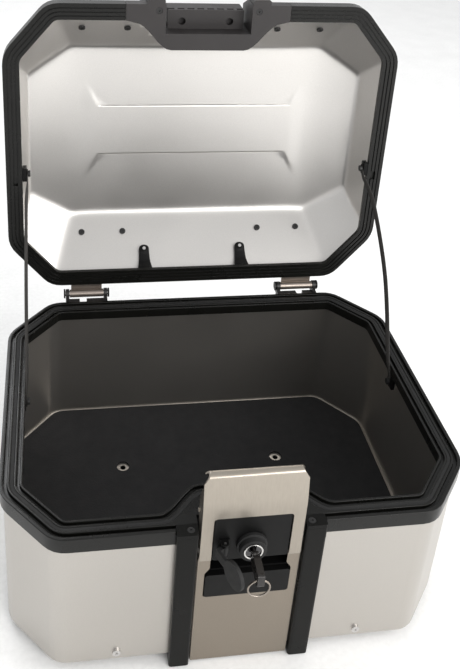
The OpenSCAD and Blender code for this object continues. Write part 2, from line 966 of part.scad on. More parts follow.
module tab(side) {
    foot_y = half_d - frame_w;
    profile = [
        [foot_y + 3.5, lid_base], [foot_y + 0.5, lid_base], [foot_y - 3.4, 16.4], [foot_y - 21, 33.1],
        [foot_y - 19, 35.2], [foot_y - 1.4, 18.6], [foot_y + 3.5, 10]
    ];
    plan = soften(
        [[-10.5, 0], [10.5, 0], [6.6, 22], [6.6, 34.8], [-6.6, 34.8], [-6.6, 22]], 6.4
    );
    color([0.11, 0.11, 0.11])
        lid_pose()
            translate([side * tab_x, 0, body_h])
                difference() {
                    union() {
                        intersection() {
                            profile_x(profile, -12, 12);
                            profile_y(plan, 100, 200);
                        }
                        on_tab()
                            translate([0, 0, -1.6])
                                cylinder(h = 2, r = 4.6);
                    }
                    on_tab()
                        translate([0, 0, -12])
                            cylinder(h = 24, r = 2.2);
                }
}

module tab_left() {
    tab(-1);
}

module tab_right() {
    tab(1);
}

module tab_screws() {
    color([0.8, 0.8, 0.8])
        lid_pose()
            both_sides()
                translate([tab_x, 0, body_h])
                    on_tab()
                        translate([0, 0, -3])
                            cylinder(h = 3 + tab_reach - gap, r = 2.1);
}

// A round bar bent up at both ends, standing on two feet
module rail() {
    half = (rail_x[1] - rail_x[0]) / 2;
    high = 15;
    bend = 8;
    bar_r = 3.2;
    color([0.12, 0.12, 0.12])
        translate([half + rail_x[0], 0, 0])
            difference() {
                union() {
                    both_sides() {
                        translate([half, 0, gap])
                            cylinder(h = 2.5, r = 7);
                        translate([half, 0, gap])
                            cylinder(h = high - bend - gap, r = bar_r);
                        translate([half - bend, 0, high - bend])
                            rotate([90, 0, 0])
                                rotate_extrude(angle = 90)
                                    translate([bend, 0])
                                        circle(r = bar_r);
                    }
                    bar_x(-half + bend, half - bend, 0, high, bar_r);
                }
                both_sides()
                    translate([half, 0, -1])
                        cylinder(h = 7, r = 2.05);
            }
}

module lid_rail(side, front) {
    lid_pose()
        scale([side, 1, 1])
            on_wall(front)
                rail();
}

module rail_front_left() {
    lid_rail(-1, true);
}

module rail_front_right() {
    lid_rail(1, true);
}

module rail_rear_left() {
    lid_rail(-1, false);
}

module rail_rear_right() {
    lid_rail(1, false);
}

module rail_screws() {
    color([0.1, 0.1, 0.1])
        lid_pose()
            for (front = [true, false])
                on_wall(front)
                    for (x = rail_x, s = [-1, 1])
                        translate([s * x, 0, -sheet])
                            difference() {
                                union() {
                                    translate([0, 0, -2.05])
                                        cylinder(h = 2, r = 4);
                                    translate([0, 0, -1])
                                        cylinder(h = 7, r = 2);
                                }
                                translate([0, 0, -3])
                                    cylinder(h = 2, r = 1.6, $fn = 6);
                            }
}

// ---- straps and their lugs ----

module lid_lugs() {
    x0 = lid_anchor_x + strap_t / 2 + 0.1;
    color([0.12, 0.12, 0.12])
        lid_pose()
            both_sides()
                difference() {
                    box([x0, lid_anchor_y - 9, body_h + 1],
                        [half_w - frame_w - 0.1, lid_anchor_y + 9, body_h + 12]);
                    bar_x(x0 - 1, x0 + 10, lid_anchor_y, body_h + lid_anchor_w, 1.5);
                }
}

module lid_lug_screws() {
    x0 = lid_anchor_x;
    color([0.15, 0.15, 0.15])
        lid_pose()
            both_sides() {
                bar_x(x0 - 3.5, x0 - strap_t / 2 - 0.1, lid_anchor_y, body_h + lid_anchor_w, 4);
                bar_x(x0 - 3, x0 + 4, lid_anchor_y, body_h + lid_anchor_w, 1.4);
            }
}

module body_lugs() {
    x0 = anchor_x + strap_t / 2 + 0.1;
    color([0.12, 0.12, 0.12])
        both_sides()
            difference() {
                box([x0, anchor_y - 8, anchor_z - 8], [x0 + 4, anchor_y + 8, body_h - 12.1]);
                bar_x(x0 - 1, x0 + 10, anchor_y, anchor_z, 1.5);
            }
}

module body_lug_screws() {
    x0 = anchor_x;
    color([0.15, 0.15, 0.15])
        both_sides() {
            bar_x(x0 - 3.5, x0 - strap_t / 2 - 0.1, anchor_y, anchor_z, 4);
            bar_x(x0 - 3, x0 + 4, anchor_y, anchor_z, 1.4);
        }
}

// Where a point of the closed lid's side view lies once the lid is open
function opened(y, z) = [
    hinge_y + (y - hinge_y) * cos(lid_open) + (z - hinge_z) * sin(lid_open),
    hinge_z - (y - hinge_y) * sin(lid_open) + (z - hinge_z) * cos(lid_open)
];
strap_low = [anchor_y, anchor_z];
strap_high = opened(lid_anchor_y, body_h + lid_anchor_w);
strap_run = strap_high - strap_low;
strap_up = [-strap_run[1], strap_run[0]] / norm(strap_run);

// Stops along each strap: how far it bulges out, its share of the way from the lower screw to the
// upper one, and how far it rises above the straight line between them
left_route = [
    [0, -0.016, -4.1], [0, 0, 0], [0, 0.04, 5], [0, 0.1, 6], [0.2, 0.2, 6], [0.5, 0.31, 5.9],
    [1, 0.49, 5.1], [1.2, 0.67, 4.3], [1.2, 0.85, 3], [0.5, 0.91, 2], [-0.1, 0.955, 1],
    [0, 1, 0], [0, 1.02, 0]
];
right_route = [
    [0, -0.016, -4.1], [0, 0, 0], [0, 0.04, 5], [0, 0.1, 6], [3.4, 0.19, 4.5], [8.6, 0.32, 1.6],
    [12.9, 0.48, -1.2], [12.2, 0.65, 0.2], [8.5, 0.82, 2.4], [3.4, 0.91, 2], [-0.1, 0.955, 1],
    [0, 1, 0], [0, 1.02, 0]
];

function strap_point(stop) =
    let (yz = strap_low + stop[1] * strap_run + stop[2] * strap_up)
    [mix(anchor_x, lid_anchor_x, stop[1]) + stop[0], yz[0], yz[1]];

// A flat band swept along a route, with its width across the route in the YZ plane
function strap_rings(route, side) = [
    for (i = [0:len(route) - 1])
        let (here = strap_point(route[i]))
        let (before = strap_point(route[max(i - 1, 0)]))
        let (after = strap_point(route[min(i + 1, len(route) - 1)]))
        let (run = [after[1] - before[1], after[2] - before[2]])
        let (across = [-run[1], run[0]] / norm(run) * strap_w / 2)
        for (c = [[-1, -1], [1, -1], [1, 1], [-1, 1]])
            [
                side * (here[0] + c[0] * strap_t / 2),
                here[1] + c[1] * across[0],
                here[2] + c[1] * across[1]
            ]
];

module strap(route, side) {
    points = strap_rings(route, side);
    rings = len(route);
    walls = [
        for (i = [0:rings - 2], k = [0:3])
            for (t = [[0, 4, 1], [1, 4, 5]])
                [for (j = t) i * 4 + (j % 4 + k) % 4 + (j > 3 ? 4 : 0)]
    ];
    ends = [[0, 1, 2, 3], [for (k = [3:-1:0]) (rings - 1) * 4 + k]];
    faces = concat(walls, ends);
    // the mirrored strap has its faces turned round
    turned = [for (f = faces) [for (k = [len(f) - 1:-1:0]) f[k]]];
    color([0.1, 0.1, 0.1])
        difference() {
            polyhedron(points, side > 0 ? faces : turned);
            bar_x(-half_w, half_w, strap_low[0], strap_low[1], 1.5);
            bar_x(-half_w, half_w, strap_high[0], strap_high[1], 1.5);
        }
}

module strap_left() {
    strap(left_route, -1);
}

module strap_right() {
    strap(right_route, 1);
}

base_tray();
base_pads();
body_skin();
floor_mat();
body_rim();
rim_gasket();
column_left();
column_right();
column_cap_left();
column_cap_right();
cap_screws();
front_plate();
skin_bolts();
lock_mount();
lock_panel();
lock_bezel();
lock_trim();
lock_housing();
lock_plug();
lock_cam();
key();
key_ring();
cover_bracket();
cover_pin();
key_cover();
release_button();
button_spring();
latch_pins();
latch_plate();
latch_rivets();
latch_springs();
hinge_bracket_left();
hinge_bracket_right();
bracket_screws();
hinge_pin_left();
hinge_pin_right();
hinge_caps();
hinge_leaf_left();
hinge_leaf_right();
lid_skin();
lid_frame();
lid_catch();
catch_screws();
tab_left();
tab_right();
tab_screws();
rail_front_left();
rail_front_right();
rail_rear_left();
rail_rear_right();
rail_screws();
lid_lugs();
lid_lug_screws();
body_lugs();
body_lug_screws();
strap_left();
strap_right();
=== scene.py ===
"""Motorcycle top case, open: finishes, pressed lid shell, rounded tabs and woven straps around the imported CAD
frame."""

import json
import math

import bmesh
import bpy
from mathutils import Matrix, Vector


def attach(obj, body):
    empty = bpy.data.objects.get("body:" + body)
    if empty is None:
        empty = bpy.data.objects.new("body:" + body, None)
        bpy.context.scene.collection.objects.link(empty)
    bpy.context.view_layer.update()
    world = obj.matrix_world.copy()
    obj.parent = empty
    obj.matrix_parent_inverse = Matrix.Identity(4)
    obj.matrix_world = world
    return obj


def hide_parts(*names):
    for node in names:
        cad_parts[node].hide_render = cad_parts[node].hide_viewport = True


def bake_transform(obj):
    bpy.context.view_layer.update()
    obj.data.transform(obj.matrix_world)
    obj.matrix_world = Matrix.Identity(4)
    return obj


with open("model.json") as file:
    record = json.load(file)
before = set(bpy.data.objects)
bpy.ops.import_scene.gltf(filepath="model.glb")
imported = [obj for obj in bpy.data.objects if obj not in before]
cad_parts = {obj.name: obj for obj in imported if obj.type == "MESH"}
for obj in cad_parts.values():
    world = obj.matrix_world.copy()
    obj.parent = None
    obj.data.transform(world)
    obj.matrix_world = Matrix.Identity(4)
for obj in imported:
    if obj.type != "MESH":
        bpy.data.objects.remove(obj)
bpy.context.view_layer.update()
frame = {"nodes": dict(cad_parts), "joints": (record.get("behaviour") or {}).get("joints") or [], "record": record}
NODES = frame["nodes"]

MM = 0.001

# What is shaped with the lid closed is then opened about its hinge
LID_HINGE = next(joint for joint in frame["joints"] if joint["name"] == "lid_hinge")
HINGE = Vector(LID_HINGE["pos_m"])
LID_OPEN = math.radians(LID_HINGE["range_deg"][1])
TO_OPEN = (
    Matrix.Translation(HINGE)
    @ Matrix.Rotation(-LID_OPEN, 4, "X")
    @ Matrix.Translation(-HINGE)
)

# Sizes of the case, in millimetres: its outline at the rim, and how far its slanting corners reach along it
HALF_W, HALF_D = 240, 187
CORNER_X, CORNER_Y = 52, 61
BODY_H = 188
RIM_W = 23
FRAME_W = 19.5


def step_up(x, low, high):
    """A smooth step from 0 at low to 1 at high."""
    t = min(1, max(0, (x - low) / (high - low)))
    return t * t * (3 - 2 * t)


def link(name, data):
    """A new object in the scene."""
    made = bpy.data.objects.new(name, data)
    bpy.context.collection.objects.link(made)
    return made


# ---- camera, floor and light ----

# The angles are in degrees and the lens in millimetres
CAMERA_PLACE = (-0.1812, -0.7627, 0.8613)
CAMERA_ANGLES = (64.367, -3.137, -8.255)
CAMERA_LENS = 47.0583
CAMERA_SHIFT = (0.06, -0.27)

# Each light's place, the point that it faces, its size, power and colour
LIGHTS = {
    "key": ((1.1, -2.3, 1.35), (0.15, -0.45, 0), (1.8, 1.2), 50, (1, 0.985, 0.965)),
    "right": ((2.1, -0.5, 1.1), (0.2, 0, 0.2), (0.9, 1.6), 20, (1, 0.99, 0.98)),
    "back": ((-0.8, 1.8, 1.9), (0, 0, 0.3), (1.4, 0.9), 22, (0.98, 0.99, 1)),
}
FLOOR_REACH = 6
FLOOR_DROP = 0.0005


def make_camera():
    data = bpy.data.cameras.new("camera")
    data.sensor_width = 36
    data.lens = CAMERA_LENS
    data.shift_x, data.shift_y = CAMERA_SHIFT
    data.clip_start = 0.05
    data.clip_end = 20
    camera = link("camera", data)
    camera.location = CAMERA_PLACE
    camera.rotation_euler = [math.radians(angle) for angle in CAMERA_ANGLES]
    bpy.context.scene.camera = camera


def make_lights():
    for name, (place, target, size, power, colour) in LIGHTS.items():
        data = bpy.data.lights.new(name, "AREA")
        data.shape = "RECTANGLE"
        data.size, data.size_y = size
        data.energy = power
        data.color = colour
        light = link(name, data)
        light.location = place
        aim = Vector(target) - Vector(place)
        light.rotation_euler = aim.to_track_quat("-Z", "Y").to_euler()


def make_studio():
    world = bpy.data.worlds.new("studio")
    world.use_nodes = True
    background = world.node_tree.nodes["Background"]
    background.inputs["Color"].default_value = (0.96, 0.965, 0.97, 1)
    background.inputs["Strength"].default_value = 0.76
    bpy.context.scene.world = world
    bpy.context.scene.view_settings.view_transform = "Standard"

    floor = bpy.data.meshes.new("floor")
    corners = [(-1, -1, 0), (1, -1, 0), (1, 1, 0), (-1, 1, 0)]
    floor.from_pydata([Vector(corner) * FLOOR_REACH for corner in corners], [], [(0, 1, 2, 3)])
    floor.materials.append(make_material("floor_paint", (0.94, 0.94, 0.935), 0.75, grain=(180, 0.00002)))
    floor_object = link("floor", floor)
    floor_object.location.z = -FLOOR_DROP


# ---- materials ----

# Most of a noise texture's values lie in this span
NOISE_SPAN = (0.3, 0.7)
COAT_ROUGH = 0.15
# How dark the grain's hollows are, and how much of that shows
GRAIN_DARK, GRAIN_SHARE = 0.82, 0.35


def make_material(
    name,
    colour,
    rough,
    metal=0.0,
    grain=(900, 0.00004),
    mottle=(14, 0.06),
    rough_spread=0.06,
    coat=0.0,
    stretch=(1, 1, 1),
    specular=0.4,
):
    """A surface with colour variation, uneven gloss and a fine grain in its relief. Scales are per metre.
    Grain is (scale, height in metres), mottle is (scale, share of the colour), and stretch draws the grain out
    along an axis, as brushing does."""
    made = bpy.data.materials.new(name)
    made.use_nodes = True
    nodes, links = made.node_tree.nodes, made.node_tree.links
    shader = nodes["Principled BSDF"]
    shader.inputs["Metallic"].default_value = metal
    shader.inputs["Coat Weight"].default_value = coat
    shader.inputs["Coat Roughness"].default_value = COAT_ROUGH
    shader.inputs["Specular IOR Level"].default_value = specular

    place = nodes.new("ShaderNodeTexCoord").outputs["Object"]
    mapping = nodes.new("ShaderNodeMapping")
    mapping.inputs["Scale"].default_value = stretch
    links.new(place, mapping.inputs["Vector"])
    stretched = mapping.outputs["Vector"]

    def noise(scale, detail, vector):
        texture = nodes.new("ShaderNodeTexNoise")
        texture.inputs["Scale"].default_value = scale
        texture.inputs["Detail"].default_value = detail
        links.new(vector, texture.inputs["Vector"])
        return texture.outputs["Fac"]

    def spread(value, low, high):
        """The noise stretched from its usual span to a new one."""
        ramp = nodes.new("ShaderNodeMapRange")
        ramp.inputs["From Min"].default_value, ramp.inputs["From Max"].default_value = NOISE_SPAN
        ramp.inputs["To Min"].default_value = low
        ramp.inputs["To Max"].default_value = high
        links.new(value, ramp.inputs["Value"])
        return ramp.outputs["Result"]

    scale, share = mottle
    fine = noise(grain[0], 3, stretched)
    mottled = nodes.new("ShaderNodeMix")
    mottled.data_type = "RGBA"
    mottled.inputs["A"].default_value = (*[c * (1 - share) for c in colour], 1)
    mottled.inputs["B"].default_value = (*[min(1, c * (1 + share)) for c in colour], 1)
    links.new(noise(scale, 4, place), mottled.inputs["Factor"])

    speckle = nodes.new("ShaderNodeMix")
    speckle.data_type = "RGBA"
    speckle.blend_type = "MULTIPLY"
    speckle.inputs["Factor"].default_value = GRAIN_SHARE
    links.new(mottled.outputs["Result"], speckle.inputs["A"])
    links.new(spread(fine, GRAIN_DARK, 1), speckle.inputs["B"])
    links.new(speckle.outputs["Result"], shader.inputs["Base Color"])

    gloss = spread(
        noise(scale * 3, 5, stretched), max(0.02, rough - rough_spread), min(1, rough + rough_spread)
    )
    links.new(gloss, shader.inputs["Roughness"])

    bump = nodes.new("ShaderNodeBump")
    bump.inputs["Distance"].default_value = grain[1]
    bump.inputs["Strength"].default_value = 1
    links.new(fine, bump.inputs["Height"])
    links.new(bump.outputs["Normal"], shader.inputs["Normal"])
    return made


def webbing_material():
    """Woven strap: fine diagonal ribs across a dark, slightly glossy yarn."""
    made = make_material("webbing", (0.026, 0.024, 0.022), 0.62, grain=(1500, 0.00005), mottle=(40, 0.2))
    nodes, links = made.node_tree.nodes, made.node_tree.links
    ribs = nodes.new("ShaderNodeTexWave")
    ribs.wave_type = "BANDS"
    ribs.bands_direction = "DIAGONAL"
    ribs.inputs["Scale"].default_value = 260
    ribs.inputs["Distortion"].default_value = 0.6
    links.new(nodes.new("ShaderNodeTexCoord").outputs["Object"], ribs.inputs["Vector"])
    yarn = nodes["Bump"]
    relief = nodes.new("ShaderNodeBump")
    relief.inputs["Distance"].default_value = 0.00025
    links.new(ribs.outputs["Fac"], relief.inputs["Height"])
    links.new(yarn.outputs["Normal"], relief.inputs["Normal"])
    links.new(relief.outputs["Normal"], nodes["Principled BSDF"].inputs["Normal"])
    return made


FINISHES = {
    "body_aluminium": dict(
        colour=(0.54, 0.515, 0.48), rough=0.34, metal=0.95, grain=(1400, 0.00002), mottle=(5, 0.02),
        rough_spread=0.02,
    ),
    "lid_aluminium": dict(
        colour=(0.68, 0.662, 0.64), rough=0.36, metal=0.95, grain=(900, 0.00004), mottle=(6, 0.02),
        rough_spread=0.02,
    ),
    "plate_metal": dict(
        colour=(0.30, 0.262, 0.218), rough=0.36, metal=0.95, grain=(700, 0.000012), mottle=(7, 0.05)
    ),
    "latch_metal": dict(
        colour=(0.41, 0.37, 0.318), rough=0.34, metal=0.95, grain=(700, 0.000012), mottle=(7, 0.04),
        stretch=(1, 1, 0.05),
    ),
    "leaf_metal": dict(
        colour=(0.30, 0.26, 0.23), rough=0.38, metal=0.9, grain=(900, 0.00002), mottle=(20, 0.1)
    ),
    "bracket_metal": dict(
        colour=(0.018, 0.017, 0.017), rough=0.4, grain=(1100, 0.00005), mottle=(25, 0.15)
    ),
    "rail_metal": dict(
        colour=(0.017, 0.017, 0.018), rough=0.36, grain=(1000, 0.00005), mottle=(25, 0.15)
    ),
    "chrome": dict(
        colour=(0.70, 0.69, 0.67), rough=0.16, metal=1, grain=(600, 0.000004), mottle=(30, 0.05)
    ),
    "steel": dict(
        colour=(0.62, 0.61, 0.60), rough=0.3, metal=1, grain=(900, 0.00001), mottle=(60, 0.1)
    ),
    "black_steel": dict(
        colour=(0.03, 0.03, 0.03), rough=0.4, metal=0.4, grain=(900, 0.00003), mottle=(60, 0.2)
    ),
    "lock_metal": dict(
        colour=(0.60, 0.59, 0.58), rough=0.28, metal=1, grain=(900, 0.00002), mottle=(60, 0.1)
    ),
    "plug_metal": dict(
        colour=(0.10, 0.098, 0.10), rough=0.2, metal=1, grain=(900, 0.00001), mottle=(60, 0.1)
    ),
    "ring_metal": dict(
        colour=(0.34, 0.30, 0.26), rough=0.25, metal=1, grain=(900, 0.00001), mottle=(60, 0.1)
    ),
    "black_plastic": dict(
        colour=(0.0045, 0.0045, 0.0045), rough=0.44, grain=(1600, 0.00004), mottle=(30, 0.15), specular=0.15
    ),
    "rim_plastic": dict(
        colour=(0.0045, 0.0045, 0.0038), rough=0.29, grain=(1200, 0.00002), mottle=(12, 0.18), specular=0.3
    ),
    "catch_plastic": dict(
        colour=(0.027, 0.024, 0.024), rough=0.46, grain=(1300, 0.00004), mottle=(25, 0.12)
    ),
    "column_plastic": dict(
        colour=(0.0045, 0.0045, 0.004), rough=0.32, grain=(1500, 0.00003), mottle=(20, 0.12), specular=0.13
    ),
    "key_plastic": dict(
        colour=(0.017, 0.015, 0.014), rough=0.3, grain=(1200, 0.00003), mottle=(50, 0.15), coat=0.1
    ),
    "rubber": dict(
        colour=(0.013, 0.013, 0.013), rough=0.68, grain=(1000, 0.00006), mottle=(40, 0.2), specular=0.35
    ),
    "mat": dict(
        colour=(0.022, 0.022, 0.023), rough=0.8, grain=(420, 0.0004), mottle=(25, 0.25), specular=0.3
    ),
}


def make_materials():
    made = {name: make_material(name, **values) for name, values in FINISHES.items()}
    made["strap_webbing"] = webbing_material()
    return made


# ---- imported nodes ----

# Nodes with another finish than the one of their slot in the record
FINISH_OF = {
    "front_plate": "plate_metal",
    "lock_plug": "plug_metal",
    "key_ring": "ring_metal",
    "floor_mat": "mat",
    "lid_catch": "catch_plastic",
}
# Edge radii in millimetres. The other nodes keep their sharp edges
EDGE_RADIUS = {
    "base_tray": 0.8,
    "base_pads": 0.5,
    "body_rim": 0.6,
    "body_lugs": 0.8,
    "body_lug_screws": 0.5,
    "column_left": 1.0,
    "column_right": 1.0,
    "column_cap_left": 0.7,
    "column_cap_right": 0.7,
    "cap_screws": 0.3,
    "front_plate": 0.3,
    "skin_bolts": 0.4,
    "latch_plate": 0.45,
    "latch_rivets": 0.3,
    "lock_mount": 0.5,
    "lock_panel": 0.7,
    "lock_bezel": 0.5,
    "lock_trim": 0.3,
    "lock_plug": 0.25,
    "key": 1.2,
    "key_cover": 0.5,
    "cover_bracket": 0.4,
    "release_button": 1.0,
    "hinge_bracket_left": 0.5,
    "hinge_bracket_right": 0.5,
    "bracket_screws": 0.4,
    "hinge_pin_left": 0.5,
    "hinge_pin_right": 0.5,
    "hinge_caps": 0.6,
    "hinge_leaf_left": 0.5,
    "hinge_leaf_right": 0.5,
    "lid_frame": 0.6,
    "lid_catch": 0.8,
    "catch_screws": 0.3,
    "tab_screws": 0.3,
    "rail_screws": 0.5,
    "lid_lugs": 0.8,
    "lid_lug_screws": 0.5,
}
WELD_REACH = 2e-6
NORMAL_WEIGHT = 60


def paint(obj, material):
    obj.data.materials.clear()
    obj.data.materials.append(material)


def shade_all_smooth(mesh):
    """Smooth shading without the normals that the mesh came with."""
    if "custom_normal" in mesh.attributes:
        mesh.attributes.remove(mesh.attributes["custom_normal"])
    for polygon in mesh.polygons:
        polygon.use_smooth = True


def smooth(obj, angle):
    """Smooth shading that keeps edges sharper than the angle."""
    shade_all_smooth(obj.data)
    with bpy.context.temp_override(object=obj, active_object=obj, selected_objects=[obj]):
        bpy.ops.object.shade_smooth_by_angle(angle=math.radians(angle), keep_sharp_edges=False)


def weld(obj):
    """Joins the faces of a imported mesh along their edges."""
    obj.modifiers.new("weld", "WELD").merge_threshold = WELD_REACH


def round_edges(obj, radius, angle):
    """Rounds the edges sharper than the angle."""
    bevel = obj.modifiers.new("edge_radius", "BEVEL")
    bevel.width = radius * MM
    bevel.segments = 2
    bevel.limit_method = "ANGLE"
    bevel.angle_limit = math.radians(angle)


def split_edges(obj, angle):
    """Keeps the edges sharper than the angle apart in the shading."""
    split = obj.modifiers.new("sharp_edges", "EDGE_SPLIT")
    split.split_angle = math.radians(angle)
    split.use_edge_sharp = False


def dress_nodes(materials):
    slots = {part["node"]: part["material_slot"] for part in frame["record"]["subparts"]}
    for name, node in NODES.items():
        paint(node, materials[FINISH_OF.get(name, slots[name])])
        shade_all_smooth(node.data)
        weld(node)
        if name in EDGE_RADIUS:
            round_edges(node, radius=EDGE_RADIUS[name], angle=38)
        else:
            split_edges(node, angle=32)
        normals = node.modifiers.new("normals", "WEIGHTED_NORMAL")
        normals.keep_sharp = True
        normals.weight = NORMAL_WEIGHT


# ---- cutting ----


def prism(plan, low, high):
    """A closed prism over a plan in millimetres, from one height to another."""
    count = len(plan)
    mesh = bpy.data.meshes.new("prism")
    mesh.from_pydata(
        [Vector((x, y, z)) * MM for z in (low, high) for x, y in plan],
        [],
        [tuple(reversed(range(count))), tuple(range(count, 2 * count))]
        + [(i, (i + 1) % count, count + (i + 1) % count, count + i) for i in range(count)],
    )
    return mesh


def carve(obj, operation, cutter_mesh):
    """Applies the object's modifiers, and then the cutter, to its mesh."""
    cutter = link("cutter", cutter_mesh)
    cut = obj.modifiers.new("cut", "BOOLEAN")
    cut.operation = operation
    cut.object = cutter
    cut.solver = "EXACT"
    bpy.context.view_layer.update()
    carved = obj.evaluated_get(bpy.context.evaluated_depsgraph_get())
    mesh = bpy.data.meshes.new_from_object(carved)
    obj.modifiers.clear()
    obj.data = mesh
    bpy.data.objects.remove(cutter)


# ---- pressed lid shell ----

# In millimetres, with heights counted from the rim. The walls stand on the base line, a little in from the
# rim's edge, and lean in to the flat roof. The side walls turn to it at a crease
WALL_INSET = 3.6
LID_BASE = 6
CREASE_END = (214.5, 84, 60.5)
ROOF_CORNER = (160, 117, 71.5)
FOLD_SOFT = 2.0
SHELL_FOOT = 7.3
SHEET = 1.5

# The band pressed into the roof ends in two steps, one towards the hinge and one towards the latch. For each:
# its place along y, the way off the band, and the stretch over which the press dies away beyond it. The press
# dies away towards the sides as well, at the band's ends
STEPS = [(30, 1, (34, 74)), (-36, -1, (40, 78))]
PRESS = 1.1
BAND_ENDS = (128, 150)
STEP_HALF = 124
STEP_EDGE = (-0.5, 0.6)
# A step's legs slant outwards and bend. LEG_SQUARE turns a distance along x into one square to the leg
LEG_SLANT = 0.42
LEG_BEND = 0.02
LEG_SQUARE = 0.92
LEG_FADE = 0.03

# Grid of the shell: places along x and y, each with the spacing up to the next
GRID_X = [(-236.4, 2.4), (-126, 7), (-92, 12), (92, 7), (126, 2.4), (236.4, 1)]
GRID_Y = [
    (-183.4, 2.4), (-76, 4), (-56, 3), (-38, 0.45), (-34, 5), (28, 0.45), (32, 3), (52, 4), (76, 2.4),
    (183.4, 1),
]

# Opening for the catch, whose sides follow the curve of the shelf behind the latch
OPENING_HALF = 78.4
OPENING_TOP = 57.4
OPENING_INSET = 22.4
OPENING_FRONT = -190
SHELF_X, SHELF_TOP_X = 88, 44
SHELF_D = 33
SHELF_SHIFT = 0.41
SHELF_STEPS = 8


def corner_ends(inset):
    """Both ends of the slanting corner, drawn in from the rim's edge."""
    length = math.hypot(CORNER_X, CORNER_Y)
    reach = CORNER_Y * HALF_W + CORNER_X * HALF_D - CORNER_X * CORNER_Y - inset * length
    x, y = HALF_W - inset, HALF_D - inset
    return ((reach - CORNER_X * y) / CORNER_Y, y), (x, (reach - CORNER_Y * x) / CORNER_X)


def plane_through(p, q, r):
    """(a, b, c) of the plane z = a + b * x + c * y through three points."""
    normal = (Vector(q) - Vector(p)).cross(Vector(r) - Vector(p))
    b, c = -normal.x / normal.z, -normal.y / normal.z
    return p[2] - b * p[0] - c * p[1], b, c


def fold_planes():
    """The flat faces of one quarter of the lid; the others mirror it."""
    front, side = corner_ends(WALL_INSET)
    front_base, side_base = (*front, LID_BASE), (*side, LID_BASE)
    return [
        (ROOF_CORNER[2], 0, 0),
        plane_through(CREASE_END, side_base, (CREASE_END[0], 0, CREASE_END[2])),
        plane_through(ROOF_CORNER, front_base, (0, ROOF_CORNER[1], ROOF_CORNER[2])),
        plane_through(CREASE_END, side_base, front_base),
        plane_through(ROOF_CORNER, CREASE_END, front_base),
        plane_through(ROOF_CORNER, CREASE_END, (ROOF_CORNER[0], 0, ROOF_CORNER[2])),
    ]


def roof_press(x, y):
    """How far the roof is pressed in: a band across the middle that ends in two sharp steps, each with short
    legs turned away from the band, and dies out towards the roof's edges."""
    band = 1 - step_up(abs(x), *BAND_ENDS)
    raised = 0.0
    for place, away, fade in STEPS:
        past = (y - place) * away
        beyond = max(0, past)
        if past > 0:
            band *= 1 - step_up(y * away, *fade)
        leg = STEP_HALF + LEG_SLANT * beyond
        within = min(past, (leg - abs(x)) * LEG_SQUARE + LEG_BEND * beyond**1.5)
        soft = LEG_FADE * beyond
        raised = max(raised, step_up(within, STEP_EDGE[0] - soft, STEP_EDGE[1] + soft))
    return PRESS * band * (1 - raised)


def lid_height(planes, x, y):
    """Height of the lid's outside above the rim: the lowest face, with every fold rounded."""
    heights = [a + b * abs(x) + c * abs(y) for a, b, c in planes]
    least = min(heights)
    rounding = FOLD_SOFT * math.log(sum(math.exp((least - height) / FOLD_SOFT) for height in heights))
    return least - rounding - roof_press(x, y)


def grid_lines(stops):
    """Places from (place, spacing up to the next) pairs."""
    lines = []
    for (a, spacing), (b, _) in zip(stops, stops[1:]):
        count = max(1, round((b - a) / spacing))
        lines += [a + (b - a) * i / count for i in range(count)]
    return lines + [stops[-1][0]]


def lid_sheet():
    """The lid's outside as one sheet, cut off level at its foot."""
    planes = fold_planes()
    xs, ys = grid_lines(GRID_X), grid_lines(GRID_Y)
    sheet = bmesh.new()
    grid = [[sheet.verts.new((x, y, BODY_H + lid_height(planes, x, y))) for x in xs] for y in ys]
    for near, far in zip(grid, grid[1:]):
        for i in range(len(xs) - 1):
            sheet.faces.new((near[i], near[i + 1], far[i + 1], far[i]))
    bmesh.ops.bisect_plane(
        sheet,
        geom=sheet.verts[:] + sheet.edges[:] + sheet.faces[:],
        plane_co=(0, 0, BODY_H + SHELL_FOOT),
        plane_no=(0, 0, 1),
        clear_inner=True,
    )
    mesh = bpy.data.meshes.new("lid_shell")
    sheet.to_mesh(mesh)
    sheet.free()
    mesh.transform(Matrix.Scale(MM, 4))
    return mesh


def catch_opening():
    """Plan of the opening for the catch."""
    curve = []
    for t in [k / SHELF_STEPS for k in range(SHELF_STEPS + 1)]:
        x = SHELF_X - SHELF_SHIFT * (RIM_W - OPENING_INSET) - (SHELF_X - SHELF_TOP_X) * t
        y = OPENING_INSET + SHELF_D * (1 - math.cos(math.pi * t)) / 2 - HALF_D
        curve.append((x, y))
    inner = [point for point in curve[2:] if point[0] < OPENING_HALF]
    right = [(OPENING_HALF, OPENING_FRONT), (OPENING_HALF, curve[2][1])] + inner
    return right + [(-x, y) for x, y in reversed(right)]


def build_lid_skin(material):
    shell_object = link("lid_shell", lid_sheet())
    solid = shell_object.modifiers.new("sheet", "SOLIDIFY")
    solid.thickness = SHEET * MM
    solid.use_even_offset = True
    carve(shell_object, "DIFFERENCE", prism(catch_opening(), BODY_H, BODY_H + OPENING_TOP))
    shell_object.data.transform(TO_OPEN)
    paint(shell_object, material)
    smooth(shell_object, angle=28)
    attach(shell_object, "lid")
    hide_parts("lid_skin")


# ---- tabs ----

# Place of a tab's screw, in millimetres: along x, in from the frame, and up from the rim
TAB_X = 65
TAB_IN = 15.6
TAB_Z = 29
# The rounded end, across the tab and along it, and a reach past the rest of the tab
TAB_ROUND = (6.6, 5.2)
ROUND_STEPS = 16
PAST_WIDTH, PAST_LENGTH, PAST_PLATE = 20, 40, 25


